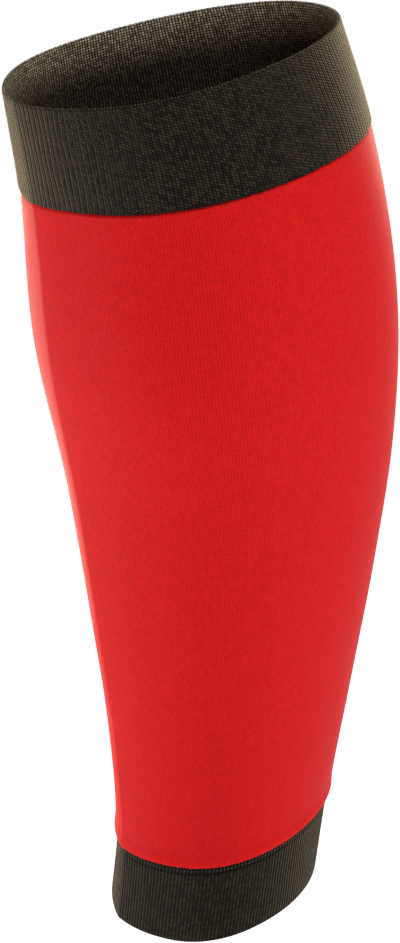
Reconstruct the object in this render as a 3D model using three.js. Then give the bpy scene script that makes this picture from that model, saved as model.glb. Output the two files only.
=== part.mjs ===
// A calf compression sleeve, held in the form of the leg that it is made for.
// Millimetres. +Z runs up the shin, the shin's ridge faces -Y and the sleeve's outer side faces +X.
// The origin lies on the leg's axis at the level where the calf is fullest.
import * as THREE from "three";

// The sleeve's own sizes.
const sleeveLength = 330;
const calfLevel = 238; // from the ankle rim up to the fullest calf
const calfDepth = 126; // shin to back of the calf, where it is fullest
const calfWidth = 125; // side to side at the same level
const shinRidge = 3.5; // how far the shin's ridge stands out of the round calf
const shinSpread = THREE.MathUtils.degToRad(32); // from the ridge to where it has run out
const shinRounding = 0.04; // share of the spread over which the ridge's edge is rounded
const shinHollow = 1.5; // above 1 the ridge's sides are hollow, as on either side of the shinbone

const topCuffHeight = 34;
const topCuffWall = 1.3;
const topCuffProud = 0.4; // the cuff lies this much over the tube's own surface
const ankleCuffHeight = 33;
const ankleCuffWall = 1.3;
const tubeWall = 1.1;
const hemRoll = 0.5; // the tube's lower edge rolls out by this much
const hemHeight = 6;
const topLap = 2; // how far the tube runs up inside the top cuff
const ankleLap = 6; // how far the ankle cuff runs up inside the tube
const layerGap = 0.3; // between two layers of knit
const easing = 3; // height over which the tube draws in below the top cuff

// The leg's form, one row for each section. Heights are shares of the sleeve's length from the
// ankle rim up, centre and depth are shares of the calf's depth, width is a share of its width.
// The centre moves to the back, the full column is the exponent of the section's curve (2 is an
// ellipse), the egg column widens the front, ridge is a share of the shin's ridge, and tilt is the
// slope in degrees by which the section rises to the back.
const sectionColumns = ["height", "centre", "depth", "width", "full", "egg", "ridge", "tilt"];
const sections = [
  [0.000, -0.285, 0.678, 0.619, 2.16, 0.07, 1.00, -1.7],
  [0.100, -0.206, 0.704, 0.610, 2.06, 0.10, 1.02, -0.2],
  [0.244, -0.129, 0.775, 0.673, 2.11, 0.06, 1.05, 0.2],
  [0.403, -0.063, 0.879, 0.789, 2.11, 0.03, 1.07, 0.3],
  [0.562, -0.013, 0.962, 0.912, 2.15, 0.03, 1.03, 0.7],
  [0.721, -0.002, 1.000, 1.000, 2.29, 0.06, 0.92, 1.4],
  [0.897, 0.010, 0.949, 0.931, 2.15, 0.10, 0.98, 2.0],
  [1.000, -0.014, 0.898, 0.797, 2.22, 0.14, 1.06, 2.8],
];

// How finely the faceted walls follow the form.
const pointsAround = 56;
const crowding = 0.35; // draws the points round a section together at the shin's ridge
const ringSpacing = 9.5;
const seamSpacing = 2; // between rings where a wall bends at a seam
const edgeSteps = 3; // facets round each cut edge of a wall

const form = new THREE.CubicInterpolant(
  sections.map((row) => row[0] * sleeveLength),
  sections.flatMap((row) => row.slice(1)),
  sectionColumns.length - 1,
);

// A point of the leg's form at a height above the ankle rim and an angle round from the shin,
// moved straight in towards the leg's axis by the given depth.
function formPoint(height, angle, inset) {
  const [centre, depth, width, full, egg, ridge, tilt] = form.evaluate(height);
  const across = Math.abs(Math.sin(angle)) / (width * calfWidth / 2);
  const along = Math.abs(Math.cos(angle)) / (depth * calfDepth / 2);
  const round = (across ** full + along ** full) ** (-1 / full);
  const tent = Math.max(0, 1 - Math.hypot(angle / shinSpread, shinRounding));
  const reach = round + ridge * shinRidge * tent ** shinHollow - inset;
  const x = reach * Math.sin(angle) * (1 + egg * Math.cos(angle));
  const back = -reach * Math.cos(angle);
  const rise = back * Math.tan(THREE.MathUtils.degToRad(tilt));
  return [x, back + centre * calfDepth, height - calfLevel + rise];
}

// The angles of the points round a section, closest together at the shin.
const angles = Array.from({ length: pointsAround }, (_, i) => {
  const even = (i / pointsAround) * 2 * Math.PI - Math.PI;
  return even - crowding * Math.sin(even);
});

// A profile is the closed outline of a wall cut lengthwise, a list of [height, inset] pairs.
// It is swept round the leg's form, so the wall is hollow and open at both ends.
function sweep(profile) {
  const positions = [];
  for (const [height, inset] of profile) {
    for (const angle of angles) {
      positions.push(...formPoint(height, angle, inset));
    }
  }
  const faces = [];
  for (let ring = 0; ring < profile.length; ring++) {
    const next = (ring + 1) % profile.length;
    for (let i = 0; i < pointsAround; i++) {
      const j = (i + 1) % pointsAround;
      const a = ring * pointsAround + i;
      const b = ring * pointsAround + j;
      const c = next * pointsAround + j;
      const d = next * pointsAround + i;
      faces.push(a, b, c, a, c, d);
    }
  }
  const geometry = new THREE.BufferGeometry();
  geometry.setAttribute("position", new THREE.Float32BufferAttribute(positions, 3));
  geometry.setIndex(faces);
  geometry.computeVertexNormals();
  return geometry;
}

const smooth = (share) => THREE.MathUtils.smoothstep(share, 0, 1);

// Heights from one end of a stretch of wall to the other, about a spacing apart.
function stretch(from, to, spacing) {
  const count = Math.max(1, Math.round((to - from) / spacing));
  return Array.from({ length: count }, (_, k) => THREE.MathUtils.lerp(from, to, k / count));
}

// The profile of a wall with rounded edges. Its heights run from the bottom to the top, and the
// surface is a function that gives the outer face's inset at a height.
function wallProfile(heights, wall, surface) {
  const radius = wall / 2;
  const outer = heights.map((height) => [height, surface(height)]);
  const inner = heights.map((height) => [height, surface(height) + wall]).reverse();
  const edge = (height, sign) => {
    const middle = surface(height) + radius;
    return Array.from({ length: edgeSteps - 1 }, (_, k) => {
      const turn = ((k + 1) / edgeSteps) * Math.PI;
      return [height + sign * radius * Math.sin(turn), middle - sign * radius * Math.cos(turn)];
    });
  };
  return [...outer, ...edge(heights.at(-1), 1), ...inner, ...edge(heights[0], -1)];
}

const topSeam = sleeveLength - topCuffHeight;
const ankleSeam = ankleCuffHeight;

// The top cuff lies over the tube's upper end.
function topCuffProfile() {
  const low = topSeam + topCuffWall / 2;
  const high = sleeveLength - topCuffWall / 2;
  return wallProfile([...stretch(low, high, ringSpacing), high], topCuffWall, () => -topCuffProud);
}

// The tube's lower hem rolls out a little.
const hemSurface = (height) => -hemRoll * smooth(1 - (height - ankleSeam) / hemHeight);

// The tube draws in under the top cuff.
function tubeProfile() {
  const underCuff = topCuffWall - topCuffProud + layerGap;
  const surface = (height) =>
    underCuff * smooth((height - topSeam + easing) / easing) + hemSurface(height);
  const low = ankleSeam + tubeWall / 2;
  const high = topSeam + topLap - tubeWall / 2;
  const heights = [
    ...stretch(low, ankleSeam + hemHeight, seamSpacing),
    ...stretch(ankleSeam + hemHeight, topSeam - easing, ringSpacing),
    ...stretch(topSeam - easing, topSeam, seamSpacing),
    ...stretch(topSeam, high, ringSpacing),
    high,
  ];
  return wallProfile(heights, tubeWall, surface);
}

// The ankle cuff's upper end lies inside the tube's hem and follows it.
function ankleCuffProfile() {
  const surface = (height) => hemSurface(height) + tubeWall + layerGap;
  const high = ankleSeam + ankleLap - ankleCuffWall / 2;
  const heights = [
    ...stretch(ankleCuffWall / 2, ankleSeam, ringSpacing),
    ...stretch(ankleSeam, high, seamSpacing),
    high,
  ];
  return wallProfile(heights, ankleCuffWall, surface);
}

const darkKnit = { color: 0x2a241d, roughness: 0.9, metalness: 0 };
const redKnit = { color: 0xcf2021, roughness: 0.75, metalness: 0 };

function piece(name, profile, finish) {
  const mesh = new THREE.Mesh(sweep(profile), new THREE.MeshStandardMaterial(finish));
  mesh.name = name;
  return mesh;
}

const sleeve = new THREE.Group();
sleeve.add(
  piece("top_cuff", topCuffProfile(), darkKnit),
  piece("calf_tube", tubeProfile(), redKnit),
  piece("ankle_cuff", ankleCuffProfile(), darkKnit),
);

export default sleeve;
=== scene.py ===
# A knitted calf compression sleeve in its worn form: a red tube between two dark cuffs.
# Heights are millimetres above the ankle rim, insets are millimetres in from the leg's skin line.
import math

import bpy
import numpy as np
from mathutils import Matrix, Vector
from mathutils.bvhtree import BVHTree


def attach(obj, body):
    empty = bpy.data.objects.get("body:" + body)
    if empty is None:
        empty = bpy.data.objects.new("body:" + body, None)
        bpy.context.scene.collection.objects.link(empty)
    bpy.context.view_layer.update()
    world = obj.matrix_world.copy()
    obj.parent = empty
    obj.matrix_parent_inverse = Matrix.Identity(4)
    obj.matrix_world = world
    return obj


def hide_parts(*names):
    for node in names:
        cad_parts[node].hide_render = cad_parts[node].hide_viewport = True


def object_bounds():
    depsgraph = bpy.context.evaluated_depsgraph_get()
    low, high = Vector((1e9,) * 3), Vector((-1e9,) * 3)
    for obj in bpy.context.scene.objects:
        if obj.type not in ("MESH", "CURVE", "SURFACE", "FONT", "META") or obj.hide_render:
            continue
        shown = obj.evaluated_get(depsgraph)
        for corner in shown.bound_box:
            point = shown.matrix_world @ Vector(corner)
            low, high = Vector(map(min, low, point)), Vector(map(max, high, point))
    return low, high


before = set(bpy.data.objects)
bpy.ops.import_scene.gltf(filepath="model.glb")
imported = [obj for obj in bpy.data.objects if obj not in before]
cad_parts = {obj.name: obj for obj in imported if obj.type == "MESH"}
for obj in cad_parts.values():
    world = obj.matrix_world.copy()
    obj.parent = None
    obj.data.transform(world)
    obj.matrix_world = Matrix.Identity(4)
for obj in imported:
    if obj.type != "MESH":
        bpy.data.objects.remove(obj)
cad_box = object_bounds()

MM = 0.001
CALF_LEVEL = 238.0
TOP_RIM = 330.0
TOP_SEAM = 296.0
ANKLE_SEAM = 33.0

# Slope in degrees by which a course of the knit rises to the back of the leg, at its height.
COURSE_SLOPES = [
    (0, -1.7), (33, -0.2), (80, 0.2), (133, 0.3), (185, 0.7), (238, 1.4), (296, 2.0), (330, 2.8)
]

# The walls, in millimetres. Each surface is the inset of the wall's outer face.
TOP_WALL = 1.3
TOP_SURFACE = -0.4
TUBE_WALL = 1.1
HEM_ROLL = 0.5
HEM_HEIGHT = 6.0
ANKLE_WALL = 1.3
ANKLE_SURFACE = 0.9

# Where each CAD wall is measured: its name, the lowest and highest level, the step between two
# levels, and how far its outer face lies inside the skin line.
MEASURED = [
    ("ankle_cuff", 6, 28, 5.5, ANKLE_SURFACE),
    ("calf_tube", 44, 284, 6.0, 0.0),
    ("top_cuff", 300, 326, 6.5, TOP_SURFACE),
]
RAYS = 360
REACH = 0.2

# How a CAD wall's facets are rounded, and which edges run down the shin and stay firm.
DOUBLES = 0.02 * MM
QUAD_ANGLE = math.radians(60)
ROUNDINGS = 2
SHIN_WIDTH = 0.1 * MM
SHIN_CREASE = 0.8

# The table of the skin line: its lowest and highest level, the step between two levels, and the
# points round each. Its outward direction is taken between points a few shares apart.
LOWEST = -4.0
HIGHEST = TOP_RIM + 5
LEVEL_STEP = 1.0
SHARES = 720
APART = 2

# A face of a wall belongs to its outside where it leans out by more than this.
OUTSIDE_LEAN = 0.6
SHARP_EDGE = math.radians(65)

# The camera, from the photograph's perspective. The azimuth runs round from the shin.
AZIMUTH = math.radians(64.0)
ELEVATION = math.radians(26.75)
ROLL = math.radians(8.5)
DISTANCE = 631.3 * MM
TARGET = Vector((-0.3, -15.9, -60.3)) * MM
LENS = 65.77
SENSOR = 36.0

rng = np.random.default_rng(7)


def linear(hex_colour):
    """An sRGB hex colour as linear RGBA."""
    channels = [int(hex_colour[i : i + 2], 16) / 255 for i in (1, 3, 5)]
    return [c / 12.92 if c <= 0.04045 else ((c + 0.055) / 1.055) ** 2.4 for c in channels] + [1.0]


def direction(azimuth, elevation):
    """The way from the leg's axis to something at an azimuth round from the shin."""
    level = math.cos(elevation)
    return Vector((math.sin(azimuth) * level, -math.cos(azimuth) * level, math.sin(elevation)))


# Camera

def camera_axes():
    """Right, up and back of the camera, turned clockwise by the roll."""
    back = direction(AZIMUTH, ELEVATION)
    right = Vector((math.cos(AZIMUTH), math.sin(AZIMUTH), 0))
    up = back.cross(right)
    turned_right = right * math.cos(ROLL) - up * math.sin(ROLL)
    turned_up = up * math.cos(ROLL) + right * math.sin(ROLL)
    return turned_right, turned_up, back


def add_camera():
    right, up, back = camera_axes()
    data = bpy.data.cameras.new("camera")
    data.sensor_fit = "VERTICAL"
    data.sensor_height = SENSOR
    data.lens = LENS
    camera = bpy.data.objects.new("camera", data)
    turn = Matrix((right, up, back)).transposed().to_4x4()
    camera.matrix_world = Matrix.Translation(TARGET + back * DISTANCE) @ turn
    bpy.context.collection.objects.link(camera)
    bpy.context.scene.camera = camera


add_camera()

# The leg's form, measured on the CAD walls

def rounded_copy(node):
    """A CAD wall's faceted mesh as a smooth form, with a firm edge down the shin."""
    copy = bpy.data.objects.new(node + "_form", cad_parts[node].data.copy())
    bpy.context.collection.objects.link(copy)
    bpy.ops.object.select_all(action="DESELECT")
    copy.select_set(True)
    bpy.context.view_layer.objects.active = copy
    bpy.ops.object.mode_set(mode="EDIT")
    bpy.ops.mesh.select_all(action="SELECT")
    bpy.ops.mesh.remove_doubles(threshold=DOUBLES)
    bpy.ops.mesh.tris_convert_to_quads(face_threshold=QUAD_ANGLE, shape_threshold=QUAD_ANGLE)
    bpy.ops.object.mode_set(mode="OBJECT")
    crease = copy.data.attributes.new("crease_edge", "FLOAT", "EDGE")
    places = [v.co for v in copy.data.vertices]
    for edge in copy.data.edges:
        if all(abs(places[v].x) < SHIN_WIDTH and places[v].y < 0 for v in edge.vertices):
            crease.data[edge.index].value = SHIN_CREASE
    rounding = copy.modifiers.new("rounding", "SUBSURF")
    rounding.levels = rounding.render_levels = ROUNDINGS
    bpy.ops.object.modifier_apply(modifier="rounding")
    return copy


def section(tree, level, inset):
    """The skin line's points round one sloped section, evenly spaced from the shin."""
    height = (level - CALF_LEVEL) * MM
    slope = math.tan(math.radians(np.interp(level, *zip(*COURSE_SLOPES))))
    front = tree.ray_cast(Vector((0, -REACH, height)), Vector((0, 1, 0)))[0].y
    rear = tree.ray_cast(Vector((0, REACH, height)), Vector((0, -1, 0)))[0].y
    middle = Vector((0, (front + rear) / 2, height))
    points = []
    for angle in np.linspace(0, 2 * math.pi, RAYS, endpoint=False):
        way = Vector((math.sin(angle), -math.cos(angle), -math.cos(angle) * slope)).normalized()
        hit = tree.ray_cast(middle + way * REACH, -way)[0]
        points.append(hit + way * inset * MM)
    points = np.array(points + points[:1])
    steps = np.linalg.norm(np.diff(points, axis=0), axis=1)
    run = np.concatenate([[0], np.cumsum(steps)]) / steps.sum()
    shares = np.arange(SHARES) / SHARES
    return np.stack([np.interp(shares, run, points[:, k]) for k in range(3)], axis=1)


def measure_leg():
    """Levels, and the skin line's sections at them."""
    levels, sections = [], []
    for node, low, high, step, inset in MEASURED:
        form = rounded_copy(node)
        tree = BVHTree.FromObject(form, bpy.context.evaluated_depsgraph_get())
        for level in np.arange(low, high + step / 2, step):
            levels.append(level)
            sections.append(section(tree, level, inset))
        bpy.data.objects.remove(form, do_unlink=True)
    return np.array(levels), np.array(sections)


def smooth_rows(levels, rows, wanted):
    """Rows at the wanted levels, on a smooth curve through the given ones, which goes straight
    on beyond the first and the last."""
    slopes = np.gradient(rows, levels, axis=0)
    k = np.clip(np.searchsorted(levels, wanted) - 1, 0, len(levels) - 2)
    span = (levels[k + 1] - levels[k]).reshape(-1, 1, 1)
    share = (wanted - levels[k]).reshape(-1, 1, 1) / span
    t = np.clip(share, 0, 1)
    curve = (
        (2 * t**3 - 3 * t**2 + 1) * rows[k]
        + (t**3 - 2 * t**2 + t) * span * slopes[k]
        + (3 * t**2 - 2 * t**3) * rows[k + 1]
        + (t**3 - t**2) * span * slopes[k + 1]
    )
    return curve + (share - t) * span * np.where(share > 1, slopes[k + 1], slopes[k])


def outward_of(surface):
    """The direction straight out of a table of surface points."""
    along = np.roll(surface, -APART, axis=1) - np.roll(surface, APART, axis=1)
    outward = np.cross(along, np.gradient(surface, axis=0))
    return outward / np.linalg.norm(outward, axis=2, keepdims=True)


skin = smooth_rows(*measure_leg(), np.arange(LOWEST, HIGHEST, LEVEL_STEP))
outward = outward_of(skin)


def look_up(table, height, share):
    """The table's values at heights and shares of the way round, between its rows and columns."""
    row = np.clip((height - LOWEST) / LEVEL_STEP, 0, len(table) - 1)
    column = (share % 1) * SHARES
    r = np.minimum(row.astype(int), len(table) - 2)
    c = column.astype(int) % SHARES
    c2 = (c + 1) % SHARES
    up = (row - r)[..., None]
    across = (column - column.astype(int))[..., None]
    low = table[r, c] * (1 - across) + table[r, c2] * across
    high = table[r + 1, c] * (1 - across) + table[r + 1, c2] * across
    return low * (1 - up) + high * up


# Knitted walls

def arc(height, inset, radius, start, end, count):
    """Points round a cut edge. A turn of 0 faces out, 90 faces up and -90 faces down."""
    turns = np.radians(np.linspace(start, end, count))
    return [(height + radius * math.sin(t), inset - radius * math.cos(t)) for t in turns]


def face(low, high, spacing, inset):
    """Points up or down one face of a wall. The inset is a function of the height."""
    count = max(2, round(abs(high - low) / spacing) + 1)
    return [(h, inset(h)) for h in np.linspace(low, high, count)]


def along_profile(profile):
    """How far a wall's closed outline has run at each point and back at the first, and how much
    its surface leans up and out at each point."""
    lengths = np.linalg.norm(np.roll(profile, -1, axis=0) - profile, axis=1)
    run = np.concatenate([[0], np.cumsum(lengths)]) + profile[0, 0]
    step = np.roll(profile, -1, axis=0) - np.roll(profile, 1, axis=0)
    step /= np.linalg.norm(step, axis=1, keepdims=True)
    return run, step[:, 1:], step[:, :1]


def wall_mesh(name, place, painted_shading, run, per_wale, lean_out):
    """The mesh of a closed wall from its rows of points, with a UV map of wales and millimetres,
    the points' painted light and shade for the colour, and its second material on the inside."""
    rows, count = painted_shading.shape
    r, c = np.indices((rows, count))
    r2, c2 = (r + 1) % rows, (c + 1) % count
    corners = [r * count + c, r * count + c2, r2 * count + c2, r2 * count + c]
    mesh = bpy.data.meshes.new(name)
    mesh.from_pydata(place.reshape(-1, 3), [], np.stack(corners, axis=-1).reshape(-1, 4).tolist())
    u = np.stack([c, c + 1, c + 1, c], axis=-1) / per_wale
    v = np.stack([run[r], run[r], run[r + 1], run[r + 1]], axis=-1)
    knit = mesh.uv_layers.new(name="knit")
    knit.data.foreach_set("uv", np.stack([u, v], axis=-1).ravel().astype(np.float32))
    painted_shadings = mesh.attributes.new("painted_shading", "FLOAT", "POINT")
    painted_shadings.data.foreach_set("value", painted_shading.ravel().astype(np.float32))
    mesh.shade_smooth()
    mesh.set_sharp_from_angle(angle=SHARP_EDGE)
    inner = (lean_out[r, 0] + lean_out[r2, 0]) / 2 < OUTSIDE_LEAN
    mesh.polygons.foreach_set("material_index", inner.ravel().astype(np.int32))
    return mesh


def knit_wall(name, profile, wales, per_wale, relief):
    """A closed wall of knit round the leg. The profile is its cut outline, as (height, inset)
    pairs up the outer face and down the inner one. The relief is a function that gives how far
    each stitch stands out and slides up in millimetres, how many stitches it drifts sideways,
    and how much painted shade darkens its colour or painted light lightens it."""
    profile = np.array(profile)
    run, lean_up, lean_out = along_profile(profile)
    shape = (len(profile), wales * per_wale)
    wale = np.broadcast_to(np.arange(shape[1]) / per_wale, shape)
    height = np.broadcast_to(profile[:, :1], shape)
    travelled = np.broadcast_to(run[:-1, None], shape)
    stand, slide, drift, painted_shading = relief(wale, height, travelled, lean_out)
    share = (wale + drift) / wales
    height = height + slide + lean_up * stand
    out = (lean_out * stand - profile[:, 1:]) * MM
    place = look_up(skin, height, share) + look_up(outward, height, share) * out[..., None]
    mesh = wall_mesh(name, place, painted_shading, run, per_wale, lean_out)
    wall = bpy.data.objects.new(name, mesh)
    bpy.context.collection.objects.link(wall)
    return wall


def smooth(share):
    """Eases from 0 to 1 as the share does."""
    share = np.clip(share, 0, 1)
    return share * share * (3 - 2 * share)


def near(distance, reach):
    """1 at an edge, easing to 0 at the reach from it."""
    return smooth(1 - distance / reach)


def per_stitch(wale, course, wales, spread, courses=400):
    """A steady random value for each stitch, which repeats after a number of courses."""
    values = rng.normal(0, spread, (courses, wales))
    return values[np.floor(course).astype(int) % courses, np.floor(wale).astype(int) % wales]


# The waves in which wales wander: how many go round the leg, the millimetres of height over
# which each turns by a radian, where it starts, and its share of the reach.
WAVES = [(5, 9, 0, 1.0), (11, -5, 1, 0.7), (23, 3, 2, 0.5)]


def wander(wale, height, wales, reach):
    """A slow sideways drift of the wales, in stitches."""
    turn = 2 * math.pi * wale / wales
    return reach * sum(
        share * np.sin(count * turn + height / climb + start)
        for count, climb, start, share in WAVES
    )


# The top cuff's knit. Stands, drops and reaches are millimetres; shades are painted shade on the
# colour, as shares of the light.
TOP_WALES = 160
TOP_COURSE = 0.95
WALE_STAND = 0.06
STITCH_STAND = 0.05
STITCH_SAG = 0.15 * TOP_COURSE
STITCH_SPREAD = 0.5
GRID_STAND = 0.03
LOOP_REACH = 1.2
LOOP_DROP = 0.12
LOOP_SPREAD = 0.06
RIM_REACH = 0.7
RIM_SCALLOP = 0.05
# Painted shade in the gaps between wales, at the loop ends of the lower edge, along the rim and
# deep inside.
GAP_SHADE = 0.15
LOOP_SHADE_REACH = 1.4
LOOP_SHADE, LOOP_CONTRAST = 0.5, 0.4
RIM_SHADE, RIM_SHADE_OUTSIDE = 0.2, 0.4
INSIDE_SHADE = 0.86
INSIDE_SHADE_DEPTH = 19


def top_cuff_relief(wale, height, run, lean_out):
    """Standing wales outside, a square grid inside, and loop ends at the edges. The colour gets
    painted shade in the gaps between wales, at the lower edge between lighter loops, along the
    rim, and more and more of it as the inside goes down."""
    outside, inside = np.clip(lean_out, 0, 1), np.clip(-lean_out, 0, 1)
    crest = -np.cos(2 * math.pi * wale)
    gap = (1 - crest) / 2
    grid = np.cos(4 * math.pi * wale)
    course = run / TOP_COURSE
    loose = 1 + per_stitch(wale * 2, course * 2, TOP_WALES, STITCH_SPREAD)
    bead = STITCH_STAND * np.cos(2 * math.pi * course) * (1 - gap) * loose
    stand = outside * (WALE_STAND * crest + bead) + inside * GRID_STAND * grid * loose
    rim = near(TOP_RIM - height, RIM_REACH)
    ragged = LOOP_DROP * gap + LOOP_SPREAD * per_stitch(wale, height * 0, TOP_WALES, 1.0)
    slide = near(height - TOP_SEAM, LOOP_REACH) * ragged - STITCH_SAG * (1 - gap) * outside
    slide = slide * (1 - rim) + rim * RIM_SCALLOP * crest
    # Painted shade on the colour: in the gaps, at the lower edge with its loops left lighter,
    # along the rim, and deeper inside.
    loop_end = near(height - TOP_SEAM, LOOP_SHADE_REACH)
    deep = smooth((TOP_RIM - height) / INSIDE_SHADE_DEPTH)
    painted_shading = (
        (1 - outside * GAP_SHADE * gap)
        * (1 - loop_end * (LOOP_SHADE - LOOP_CONTRAST * grid))
        * (1 - rim * (RIM_SHADE + RIM_SHADE_OUTSIDE * outside))
        * (1 - inside * INSIDE_SHADE * deep)
    )
    return stand, slide, wander(wale, height, TOP_WALES, reach=0.09), painted_shading


def top_cuff_profile():
    """The wall, whose lower edge is thinned from inside to lie close on the tube."""
    radius = TOP_WALL / 2
    outer_lip = [(TOP_SEAM + 0.1, -0.05), (TOP_SEAM, -0.38)]
    inner_lip = [(TOP_SEAM + 0.7, 0.5), (TOP_SEAM + 0.15, 0.15)]
    high = TOP_RIM - radius
    outer = face(TOP_SEAM + 0.3, high, TOP_COURSE / 2, lambda h: TOP_SURFACE)
    rim = arc(high, TOP_SURFACE + radius, radius, start=15, end=165, count=5)
    inner = face(high, TOP_SEAM + 1.6, TOP_COURSE, lambda h: TOP_SURFACE + TOP_WALL)
    return outer_lip + outer + rim + inner + inner_lip


def hem_roll(height):
    """How far the tube's lower hem rolls out, as an inset."""
    return -HEM_ROLL * near(height - ANKLE_SEAM, HEM_HEIGHT)


# The tube's knit. It dives under the top cuff's lower edge from the dive's start to its end.
TUBE_WALES = 364
DIVE_DEPTH = 1.25
DIVE_START, DIVE_END = TOP_SEAM - 1.1, TOP_SEAM + 0.9
TUBE_TOP = TOP_SEAM + 1.2
SWELL_STAND = 0.015
SWELL_HEIGHT = 46
SWELLS_ROUND = 9
RAGGED_REACH = 1.2
RAGGED_PAIRS = 0.13
RAGGED_SPREAD = 0.1
HEM_CREST = 1.6
# The painted highlight along the hem's crest and the painted shade at its cut edge: shares of the
# light, and millimetres.
HEM_LIGHT, HEM_LIGHT_REACH = 0.12, 2.2
EDGE_SHADE, EDGE_SHADE_REACH = 0.5, 0.45


def tube_surface(height):
    """The tube lies on the skin line, rolls out at its hem and dives under the top cuff."""
    dive = smooth((height - DIVE_START) / (DIVE_END - DIVE_START))
    return hem_roll(height) + DIVE_DEPTH * dive


def tube_profile():
    """The wall, closely divided where it bends at its hem and under the cuff."""
    radius = TUBE_WALL / 2
    low = ANKLE_SEAM + radius
    bottom = arc(low, tube_surface(low) + radius, radius, start=-150, end=0, count=6)
    outer = face(low + 0.5, ANKLE_SEAM + 7, 0.6, tube_surface)
    outer += face(ANKLE_SEAM + 9, TOP_SEAM - 3, 2.0, tube_surface)
    outer += face(TOP_SEAM - 2, TUBE_TOP, 0.5, tube_surface)
    middle = tube_surface(TUBE_TOP) + radius
    top = arc(TUBE_TOP, middle, radius, start=40, end=140, count=3)
    inner = face(TUBE_TOP, low, 7.0, lambda h: tube_surface(h) + TUBE_WALL)
    return bottom + outer + top + inner


def tube_relief(wale, height, run, lean_out):
    """Nearly smooth, with slight swells and a ragged lower edge. Its colour gets a painted
    highlight along the hem's crest and painted shade at the very edge below it.
    """
    turn = 2 * math.pi * wale / TUBE_WALES
    above = height - ANKLE_SEAM
    chance = per_stitch(wale, height * 0, TUBE_WALES, 1.0)
    ragged = RAGGED_PAIRS * np.cos(math.pi * wale) + RAGGED_SPREAD * chance
    swell = SWELL_STAND * np.sin(2 * math.pi * height / SWELL_HEIGHT + SWELLS_ROUND * turn)
    # A painted highlight along the rolled hem and painted shade at the cut edge.
    light = 1 + HEM_LIGHT * near(np.abs(above - HEM_CREST), HEM_LIGHT_REACH)
    painted_shading = light * (1 - EDGE_SHADE * near(above, EDGE_SHADE_REACH))
    return swell * np.clip(lean_out, 0, 1), near(above, RAGGED_REACH) * ragged, 0 * wale, painted_shading


# The ankle cuff's knit. The groove and the row of stitches lie at levels below the seam.
ANKLE_RIBS = 180
ANKLE_COURSE = 1.1
ANKLE_TOP = ANKLE_SEAM + 5.3
RIB_STAND = 0.05
RIB_SPREAD = 0.15
RIBS_END = 3.7
RIBS_FADE = 0.5
GROOVE_LEVEL, GROOVE_WIDTH = 3.3, 0.35
GROOVE_DEPTH = 0.12
ROW_LEVEL, ROW_HALF = 2.1, 0.32
ROW_STAND = 0.1
ANKLE_SCALLOP = 0.08
# Painted shade between the ribs and from the groove up, and painted highlights on the row's
# stitches, as shares of the light.
RIB_SHADE = 0.15
GROOVE_SHADE = 0.85
ROW_LIGHT, ROW_SHADE, ROW_CONTRAST = 3.4, 0.1, 1.3
DARKEST = 0.1


def ankle_surface(height):
    """The cuff's outer face, which follows the hem inside the tube."""
    return ANKLE_SURFACE + HEM_ROLL + hem_roll(height)


def ankle_profile():
    """The wall, closely divided at its groove and its row of stitches."""
    radius = ANKLE_WALL / 2
    low = ankle_surface(radius) + radius
    bottom = arc(radius, low, radius, start=-165, end=-15, count=6)
    outer = face(radius, ANKLE_SEAM - 5, 1.1, ankle_surface)
    outer += face(ANKLE_SEAM - 4.6, ANKLE_SEAM - 0.4, 0.28, ankle_surface)
    outer += face(ANKLE_SEAM, ANKLE_TOP, 1.3, ankle_surface)
    high = ankle_surface(ANKLE_TOP) + radius
    top = arc(ANKLE_TOP, high, radius, start=40, end=140, count=3)
    inner = face(ANKLE_TOP, radius, 4.0, lambda h: ankle_surface(h) + ANKLE_WALL)
    return bottom + outer + top + inner


def ankle_relief(wale, height, run, lean_out):
    """Ribs up to a groove, and a row of separate stitches between it and the tube's edge. The
    colour gets painted shade between the ribs and from the groove up, and a painted highlight on
    each stitch of the row.
    """
    outside = np.clip(lean_out, 0, 1)
    crest = -np.cos(2 * math.pi * wale)
    below = ANKLE_SEAM - height
    ribbed = smooth((below - RIBS_END) / RIBS_FADE)
    groove = np.exp(-(((below - GROOVE_LEVEL) / GROOVE_WIDTH) ** 2))
    row = smooth(2 - np.abs(below - ROW_LEVEL) / ROW_HALF)
    loose = 1 + per_stitch(wale, height / ANKLE_COURSE, ANKLE_RIBS, RIB_SPREAD)
    ribs = RIB_STAND * crest * ribbed * loose
    stand = outside * (ribs - GROOVE_DEPTH * groove + ROW_STAND * crest * row)
    # Painted shade between the ribs and from the groove up; the row's stitches get a painted
    # highlight on their crests.
    dark = RIB_SHADE * (1 - crest) * ribbed + GROOVE_SHADE * (1 - ribbed)
    pale = ROW_LIGHT * smooth(ROW_CONTRAST * crest) - ROW_SHADE
    painted_shading = np.maximum(1 + outside * (row * pale - dark), DARKEST)
    slide = near(height, RAGGED_REACH) * ANKLE_SCALLOP * crest
    return stand, slide, wander(wale, height, ANKLE_RIBS, reach=0.05), painted_shading


top_cuff = knit_wall("top_cuff_knit", top_cuff_profile(), TOP_WALES, 4, top_cuff_relief)
calf_tube = knit_wall("calf_tube_knit", tube_profile(), TUBE_WALES, 1, tube_relief)
ankle_cuff = knit_wall("ankle_cuff_knit", ankle_profile(), ANKLE_RIBS, 4, ankle_relief)

# Materials

# The sockets of a Mix node for colours, by number, because their names repeat.
FACTOR, FIRST, SECOND, RESULT = 0, 6, 7, 2

# The height of a pattern from which its yarn has its full colour.
YARN_HEIGHT = 0.9


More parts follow.
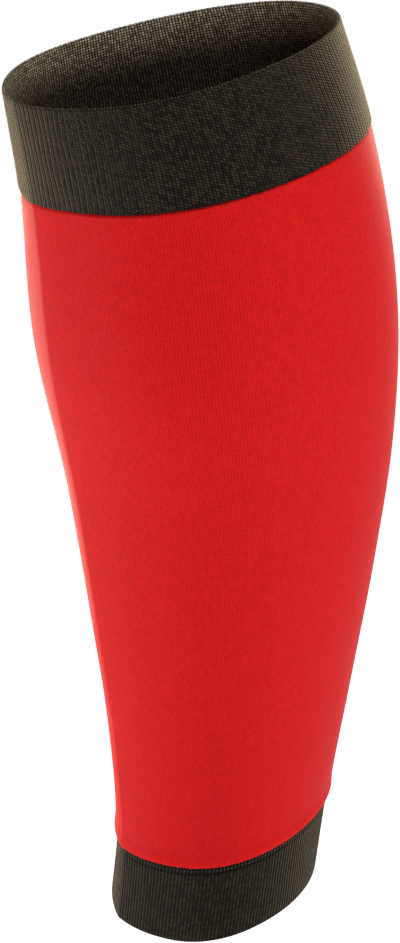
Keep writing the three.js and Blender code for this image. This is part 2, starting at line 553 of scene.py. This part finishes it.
def add_node(tree, kind, inputs=(), **settings):
    """Adds a shader node. Its inputs are a list in the node's own order, or a dict by name or
    number, of values, sockets and nodes. A node gives its first output."""
    node = tree.nodes.new("ShaderNode" + kind)
    for name, value in settings.items():
        setattr(node, name, value)
    for key, value in inputs.items() if isinstance(inputs, dict) else enumerate(inputs):
        if isinstance(value, bpy.types.Node):
            value = value.outputs[0]
        if isinstance(value, bpy.types.NodeSocket):
            tree.links.new(value, node.inputs[key])
        else:
            node.inputs[key].default_value = value
    return node


def knit_axes(tree, course):
    """Wales across and courses along, from the UV map of wales and millimetres."""
    knit = add_node(tree, "SeparateXYZ", [add_node(tree, "UVMap", uv_map="knit")])
    courses = add_node(tree, "Math", [knit.outputs["Y"], course], operation="DIVIDE")
    return knit.outputs["X"], courses


def chance_of(tree, u, v):
    """A random value for each whole step of u and v."""
    whole = [add_node(tree, "Math", [value], operation="FLOOR") for value in (u, v)]
    cell = add_node(tree, "CombineXYZ", whole)
    return add_node(tree, "TexWhiteNoise", [cell], noise_dimensions="2D")


def swell_of(tree, value):
    """Rises from 0 to 1 and falls back over each whole step of the value."""
    part = add_node(tree, "Math", [value], operation="FRACT")
    turn = add_node(tree, "Math", [part, math.pi], operation="MULTIPLY")
    return add_node(tree, "Math", [turn], operation="SINE")


def fading(tree, wale, start, end, middle, side):
    """A value in the middle of each wale that eases to another at its sides. The start and the
    end are shares of a wale away from its middle."""
    part = add_node(tree, "Math", [wale], operation="FRACT")
    offset = add_node(tree, "Math", [part, 0.5], operation="SUBTRACT")
    away = add_node(tree, "Math", [offset], operation="ABSOLUTE")
    steps = [away, start, end, middle, side]
    return add_node(tree, "MapRange", steps, interpolation_type="SMOOTHSTEP")


def stitches(tree, course):
    """Height of a plain knit's face, 0 in the gaps and 1 on the yarn, and a random value for each
    half of a stitch. The halves slant and lie half a course apart, and the grooves between wales
    are a little darker than those within one."""
    u, v = knit_axes(tree, course)
    groove = fading(tree, u, start=0.3, end=0.46, middle=1.0, side=0.6)
    halves = add_node(tree, "Math", [u, 2.0], operation="MULTIPLY")
    whole = add_node(tree, "Math", [halves], operation="FLOOR")
    part = add_node(tree, "Math", [halves], operation="FRACT")
    staggered = add_node(tree, "Math", [whole, 0.5, v], operation="MULTIPLY_ADD")
    rise = add_node(tree, "Math", [part, 0.6, staggered], operation="MULTIPLY_ADD")
    leg = add_node(tree, "Math", [swell_of(tree, halves), 0.85, 0.15], operation="MULTIPLY_ADD")
    yarn = add_node(tree, "Math", [leg, swell_of(tree, rise)], operation="MULTIPLY")
    height = add_node(tree, "Math", [yarn, groove], operation="MULTIPLY")
    return height, chance_of(tree, halves, rise)


def rib_lines(tree, course):
    """Height of narrow standing ribs, a little uneven from course to course, and a random value
    for each stitch."""
    u, v = knit_axes(tree, course)
    ridge = fading(tree, u, start=0.06, end=0.4, middle=1.0, side=0.05)
    bead = add_node(tree, "Math", [swell_of(tree, v), 0.3, 0.7], operation="MULTIPLY_ADD")
    height = add_node(tree, "Math", [ridge, bead], operation="MULTIPLY")
    return height, chance_of(tree, u, v)


def dashed_wales(tree, course, dash):
    """Height of a fine knit whose wales part in short, staggered dashes, so many courses long,
    and a random value for each stitch."""
    u, v = knit_axes(tree, course)
    wale = add_node(tree, "Math", [u, 0.5], operation="ADD")
    whole = add_node(tree, "Math", [wale], operation="FLOOR")
    start = add_node(tree, "TexWhiteNoise", {"W": whole}, noise_dimensions="1D")
    dashes = add_node(tree, "Math", [v, dash], operation="DIVIDE")
    along = add_node(tree, "Math", [start, 7.0, dashes], operation="MULTIPLY_ADD")
    depth = [chance_of(tree, wale, along), 0.0, 1.0, 0.5, 1.0]
    uneven = add_node(tree, "MapRange", depth, interpolation_type="SMOOTHSTEP")
    taper = [swell_of(tree, along), 0.0, 0.6, 0.3, 1.0]
    ends = add_node(tree, "MapRange", taper, interpolation_type="SMOOTHSTEP")
    opened = add_node(tree, "Math", [uneven, ends], operation="MULTIPLY")
    across = fading(tree, wale, start=0.04, end=0.42, middle=1.0, side=0.0)
    gap = add_node(tree, "Math", [across, opened], operation="MULTIPLY")
    closed = add_node(tree, "Math", [1.0, gap], operation="SUBTRACT")
    yarn = add_node(tree, "Math", [swell_of(tree, v), 0.15, 0.85], operation="MULTIPLY_ADD")
    height = add_node(tree, "Math", [yarn, closed], operation="MULTIPLY")
    return height, chance_of(tree, u, v)


def purl_cells(tree, course):
    """Height of the small square cells on a knit's reverse, two to a wale, and a random value for
    each cell."""
    wale, v = knit_axes(tree, course)
    u = add_node(tree, "Math", [wale, 2.0], operation="MULTIPLY")
    up = add_node(tree, "Math", [swell_of(tree, v), 0.8, 0.2], operation="MULTIPLY_ADD")
    height = add_node(tree, "Math", [swell_of(tree, u), up], operation="MULTIPLY")
    return height, chance_of(tree, u, v)


def knit_colour(tree, height, chance, low, gap, yarn, spread):
    """A colour in the gaps, up to a low height, that goes over to another on the yarn: the darker
    gap colour is painted shade between the yarns. It is uneven from stitch to stitch, and it is
    multiplied by the points' painted light and shade."""
    steps = [height, low, YARN_HEIGHT, 0.0, 1.0]
    rise = add_node(tree, "MapRange", steps, interpolation_type="SMOOTHSTEP")
    colours = {FACTOR: rise, FIRST: linear(gap), SECOND: linear(yarn)}
    lit = add_node(tree, "Mix", colours, data_type="RGBA").outputs[RESULT]
    levels = [chance, 0.0, 1.0, 1 - spread, 1 + spread]
    uneven = add_node(tree, "MapRange", levels, interpolation_type="SMOOTHSTEP")
    # The points' painted light and shade, which darkens the colour in recesses and lightens a few
    # crests.
    depth = add_node(tree, "Attribute", attribute_name="painted_shading").outputs["Fac"]
    level = add_node(tree, "Math", [uneven, depth], operation="MULTIPLY")
    tone = add_node(tree, "CombineXYZ", [level, level, level])
    parts = {FACTOR: 1.0, FIRST: lit, SECOND: tone}
    product = add_node(tree, "Mix", parts, data_type="RGBA", blend_type="MULTIPLY")
    return product.outputs[RESULT]


def new_material(name):
    """A material with an empty node tree."""
    material = bpy.data.materials.new(name)
    material.use_nodes = True
    material.node_tree.nodes.clear()
    return material, material.node_tree


def add_surface(tree, looks):
    """The material's shader, with the given inputs."""
    add_node(tree, "OutputMaterial", {"Surface": add_node(tree, "BsdfPrincipled", looks)})


def red_nylon_knit():
    """Fine plain knit of nylon and elastane: matt, with soft pale light along its turned edges.
    Its wales and courses are 1.1 mm apart, as coarse as they need to be to show."""
    material, tree = new_material("red_nylon_plain_knit")
    height, chance = dashed_wales(tree, course=1.13, dash=1.6)
    relief = {"Strength": 0.3, "Distance": 0.1 * MM, "Height": height}
    add_surface(tree, {
        # The darker gap colour is painted shade between the yarns.
        "Base Color": knit_colour(tree, height, chance, 0.1, "#b01012", "#c71717", spread=0.05),
        "Normal": add_node(tree, "Bump", relief),
        "Roughness": 0.6,
        "Specular IOR Level": 0.03,
        "Sheen Weight": 0.02,
        "Sheen Roughness": 0.5,
    })
    return material


def dark_cotton(name, pattern, course, gap, yarn, spread, sheen):
    """Coarser spun yarn, nearly black brown, with short fibres that catch the light at the
    sides."""
    material, tree = new_material(name)
    height, chance = pattern(tree, course)
    relief = {"Strength": 0.9, "Distance": 0.25 * MM, "Height": height}
    add_surface(tree, {
        "Base Color": knit_colour(tree, height, chance, 0.15, gap, yarn, spread),
        "Normal": add_node(tree, "Bump", relief),
        "Roughness": 0.75,
        "Specular IOR Level": 0.08,
        "Sheen Weight": sheen,
        "Sheen Roughness": 0.28,
        "Sheen Tint": linear("#f8e4b8"),
    })
    return material


def dress(piece, outside, inside):
    """Gives a wall the finish of its face and that of its reverse."""
    piece.data.materials.append(outside)
    piece.data.materials.append(inside)


# Each gap colour is the yarn painted darker as shade between the stitches.
top_face = dark_cotton(
    "dark_cotton_top_knit", stitches, TOP_COURSE, "#0e0b08", "#342b20", spread=0.6, sheen=1.0
)
# The inside's pale yarn colour is partly a paler reverse face and partly painted light, standing
# in for the light that falls into the cuff.
reverse = dark_cotton(
    "dark_cotton_reverse_painted_light", purl_cells, TOP_COURSE, "#2a241b", "#d2c2a4", spread=0.45, sheen=0.05
)
rib_face = dark_cotton(
    "dark_cotton_rib_knit", rib_lines, ANKLE_COURSE, "#19140d", "#2b2419", spread=0.45, sheen=0.27
)
red_face = red_nylon_knit()
dress(top_cuff, top_face, reverse)
dress(calf_tube, red_face, red_face)
dress(ankle_cuff, rib_face, reverse)

# Floor and light

FLOOR_DROP = 0.8
FLOOR_SIZE = 16.0
TOP_CUFF_MIDDLE = Vector((0, 0, 75)) * MM
ANKLE_CUFF_MIDDLE = Vector((0, -36, -222)) * MM
WHITE = "#ffffff"
WARM = "#ffe6d0"
IVORY = "#ffeed6"

# Soft square lights: where each stands, as an azimuth and an elevation in degrees and a distance
# in metres from what it faces, its width and height in metres, its power in watts and its colour.
SOFTBOXES = [
    ("left_softbox", -80, -9, 1.0, TARGET, (0.3, 0.7), 6.6, WARM),
    ("left_rear_softbox", -105, -8, 0.45, TOP_CUFF_MIDDLE, (0.2, 0.2), 6.5, IVORY),
    ("left_front_softbox", -25, -14, 1.1, TARGET, (0.5, 0.9), 9.0, WHITE),
    ("right_softbox", 122, -5, 1.4, TARGET, (0.6, 0.8), 4.0, WHITE),
    ("right_rear_softbox", 207, -6, 0.45, TOP_CUFF_MIDDLE, (0.2, 0.2), 1.6, IVORY),
    ("left_low_softbox", -103, -6, 0.4, ANKLE_CUFF_MIDDLE, (0.15, 0.15), 1.6, WARM),
    ("top_softbox", 98, 51, 1.0, TARGET, (0.35, 0.35), 4.2, WHITE),
]

# The studio glows at eye level and below, and fades up to a height of the direction of sight.
GLOW_TOP, GLOW_END = -0.02, 0.3
GLOW_STRENGTH, DIM_STRENGTH = 1.25, 0.06


def add_floor():
    """A plain pale floor, far enough below the sleeve for its shadow to fade out."""
    level = cad_box[0][2] - FLOOR_DROP
    bpy.ops.mesh.primitive_plane_add(size=FLOOR_SIZE, location=(0, 0, level))
    floor = bpy.context.object
    floor.name = "floor"
    material, tree = new_material("white_studio_paper")
    add_surface(tree, {
        "Base Color": linear(WHITE),
        "Roughness": 0.9,
        "Emission Color": linear(WHITE),
        "Emission Strength": 0.93,
    })
    floor.data.materials.append(material)


def add_surroundings():
    """A studio that is bright at eye level all round and dim overhead."""
    world = bpy.data.worlds.new("studio")
    world.use_nodes = True
    tree = world.node_tree
    way = add_node(tree, "SeparateXYZ", [add_node(tree, "TexCoord")])
    fade = [way.outputs["Z"], GLOW_TOP, GLOW_END, GLOW_STRENGTH, DIM_STRENGTH]
    glow = add_node(tree, "MapRange", fade, interpolation_type="SMOOTHSTEP")
    background = tree.nodes["Background"]
    tree.links.new(glow.outputs[0], background.inputs["Strength"])
    background.inputs["Color"].default_value = linear(WHITE)
    bpy.context.scene.world = world


def add_lights():
    """The softboxes, each turned to what it faces."""
    for name, azimuth, elevation, distance, aim, size, power, colour in SOFTBOXES:
        way = direction(math.radians(azimuth), math.radians(elevation))
        data = bpy.data.lights.new(name, "AREA")
        data.shape = "RECTANGLE"
        data.size, data.size_y = size
        data.energy = power
        data.color = linear(colour)[:3]
        light = bpy.data.objects.new(name, data)
        light.location = aim + way * distance
        light.rotation_euler = way.to_track_quat("Z", "Y").to_euler()
        bpy.context.collection.objects.link(light)


add_surroundings()
add_floor()
add_lights()
bpy.context.scene.view_settings.view_transform = "Standard"

# Each piece is attached to the root, and the CAD part that it stands for is hidden. The table
# gives the piece, that part, its knit, and the width and height in metres of the knit as it
# lies flat, before it is worn

for piece, node, slot, flat in (
    (top_cuff, "top_cuff", "dark_knit", (0.30, 0.034)),
    (calf_tube, "calf_tube", "red_knit", (0.27, 0.27)),
    (ankle_cuff, "ankle_cuff", "dark_knit", (0.22, 0.038)),
):
    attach(piece, "root")
    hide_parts(node)
